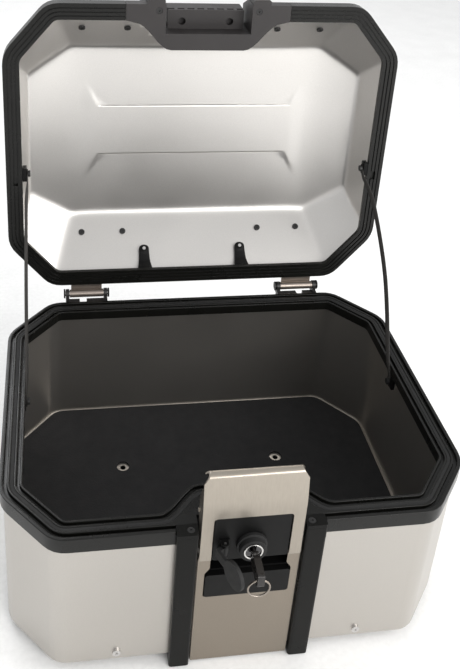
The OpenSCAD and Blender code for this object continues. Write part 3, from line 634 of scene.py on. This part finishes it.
def tab_plan():
    """What stays of a tab, in its own plane about the screw."""
    turns = [math.pi * k / ROUND_STEPS for k in range(ROUND_STEPS + 1)]
    arc = [(-TAB_ROUND[0] * math.cos(turn), -TAB_ROUND[1] * math.sin(turn)) for turn in turns]
    return [(PAST_WIDTH, PAST_LENGTH), (-PAST_WIDTH, PAST_LENGTH), (-PAST_WIDTH, 0)] + arc + [(PAST_WIDTH, 0)]


def round_tabs(material):
    """The tabs with their ends rounded about the screw, in place of the CAD's tapered ones."""
    lean = math.atan2(ROOF_CORNER[2] - LID_BASE, HALF_D - WALL_INSET - ROOF_CORNER[1])
    for name, side in (("tab_left", -1), ("tab_right", 1)):
        tab = link(name.replace("tab", "rounded_tab"), NODES[name].data.copy())
        weld(tab)
        screw = Vector((side * TAB_X, HALF_D - FRAME_W - TAB_IN, BODY_H + TAB_Z)) * MM
        rounding = prism(tab_plan(), -PAST_PLATE, PAST_PLATE)
        rounding.transform(TO_OPEN @ Matrix.Translation(screw) @ Matrix.Rotation(-lean, 4, "X"))
        carve(tab, "INTERSECT", rounding)
        paint(tab, material)
        smooth(tab, angle=30)
        round_edges(tab, radius=0.4, angle=40)
        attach(tab, "lid")
        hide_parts(name)


# ---- straps ----

# Screws of a strap's two lugs with the lid open, in millimetres
CASE_LUG, LID_LUG = (216.1, 26, 168), (214.5, 210.55, 364.29)
STRAP_HALF_W, STRAP_HALF_T = 2.95, 0.62
# The strap's edges are cut off a little on both faces: how far in, and what share of the thickness is left
EDGE_IN, EDGE_LEFT = 0.4, 0.4
STRAP_TWIST = math.radians(36)
# Shares of the length: where the twist builds up and where it dies away
TWIST_IN, TWIST_OUT = (0.08, 0.34), (0.66, 0.9)
POINTS_PER_SPAN = 6

# Each strap's route: how far it bows outwards, its share of the way from lug to lug, and its rise off the
# straight line
LEFT_ROUTE = [
    (0, -0.016, -4.1), (0, 0, 0), (0, 0.04, 5), (0, 0.1, 6), (0.2, 0.2, 6), (0.5, 0.31, 5.9), (1, 0.49, 5.1),
    (1.2, 0.67, 4.3), (1.2, 0.85, 3), (0.5, 0.91, 2), (-0.1, 0.955, 1), (0, 1, 0), (0, 1.02, 0),
]
RIGHT_ROUTE = [
    (0, -0.016, -4.1), (0, 0, 0), (0, 0.04, 5), (0, 0.1, 6), (3.4, 0.19, 4.5), (8.6, 0.32, 1.6),
    (12.9, 0.48, -1.2), (12.2, 0.65, 0.2), (8.5, 0.82, 2.4), (3.4, 0.91, 2), (-0.1, 0.955, 1), (0, 1, 0),
    (0, 1.02, 0),
]


def catmull(points):
    """A smooth line through the points."""
    line = []
    last = len(points) - 1
    for i in range(last):
        p0, p1, p2, p3 = points[max(i - 1, 0)], points[i], points[i + 1], points[min(i + 2, last)]
        for t in [k / POINTS_PER_SPAN for k in range(POINTS_PER_SPAN)]:
            bend = (p2 - p0) * t + (2 * p0 - 5 * p1 + 4 * p2 - p3) * t**2 + (3 * p1 - p0 - 3 * p2 + p3) * t**3
            line.append(p1 + bend / 2)
    return line + [points[-1]]


def strap_section():
    """The strap's section as (thickness, width), round its outline."""
    left = EDGE_LEFT * STRAP_HALF_T
    edge = [
        (-STRAP_HALF_T, STRAP_HALF_W - EDGE_IN), (-left, STRAP_HALF_W),
        (left, STRAP_HALF_W), (STRAP_HALF_T, STRAP_HALF_W - EDGE_IN),
    ]
    return [(t, -w) for t, w in edge] + [(t, w) for t, w in reversed(edge)]


def strap_mesh(name, line, side):
    """The section swept along the line, with its flat side turning by the twist and back."""
    section = strap_section()
    count, last = len(section), len(line) - 1
    verts, faces = [], []
    for i, here in enumerate(line):
        share = i / last
        twist = STRAP_TWIST * step_up(share, *TWIST_IN) * (1 - step_up(share, *TWIST_OUT))
        along = line[min(i + 1, last)] - line[max(i - 1, 0)]
        flat = Vector((0, -along.z, along.y)).normalized()
        proud = along.cross(flat).normalized()
        across = flat * math.cos(twist) + proud * math.sin(twist)
        thick = proud * math.cos(twist) - flat * math.sin(twist)
        for t, w in section:
            point = here + thick * t + across * w
            verts.append((side * point.x * MM, point.y * MM, point.z * MM))
    for start in range(0, last * count, count):
        for k in range(count):
            a, b = start + k, start + (k + 1) % count
            faces.append((a, b, b + count, a + count))
    faces.append(tuple(range(count)))
    faces.append(tuple(last * count + k for k in reversed(range(count))))
    mesh = bpy.data.meshes.new(name)
    mesh.from_pydata(verts, [], faces)
    turned = bmesh.new()
    turned.from_mesh(mesh)
    bmesh.ops.recalc_face_normals(turned, faces=turned.faces)
    turned.to_mesh(mesh)
    turned.free()
    return mesh


def build_strap(name, route, side, material):
    """A flat woven band from the case's lug to the lid's."""
    start = Vector(CASE_LUG)
    run = Vector(LID_LUG) - start
    rise = Vector((0, -run.z, run.y)).normalized()
    stops = [start + run * share + rise * up + Vector((bulge, 0, 0)) for bulge, share, up in route]
    strap = link(name, strap_mesh(name, catmull(stops), side))
    paint(strap, material)
    smooth(strap, angle=40)
    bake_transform(strap)
    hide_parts(name.replace("webbing", "strap"))


make_camera()
make_lights()
make_studio()
finishes = make_materials()
dress_nodes(finishes)
build_lid_skin(finishes["lid_aluminium"])
round_tabs(finishes["black_plastic"])
build_strap("webbing_left", LEFT_ROUTE, -1, finishes["strap_webbing"])
build_strap("webbing_right", RIGHT_ROUTE, 1, finishes["strap_webbing"])
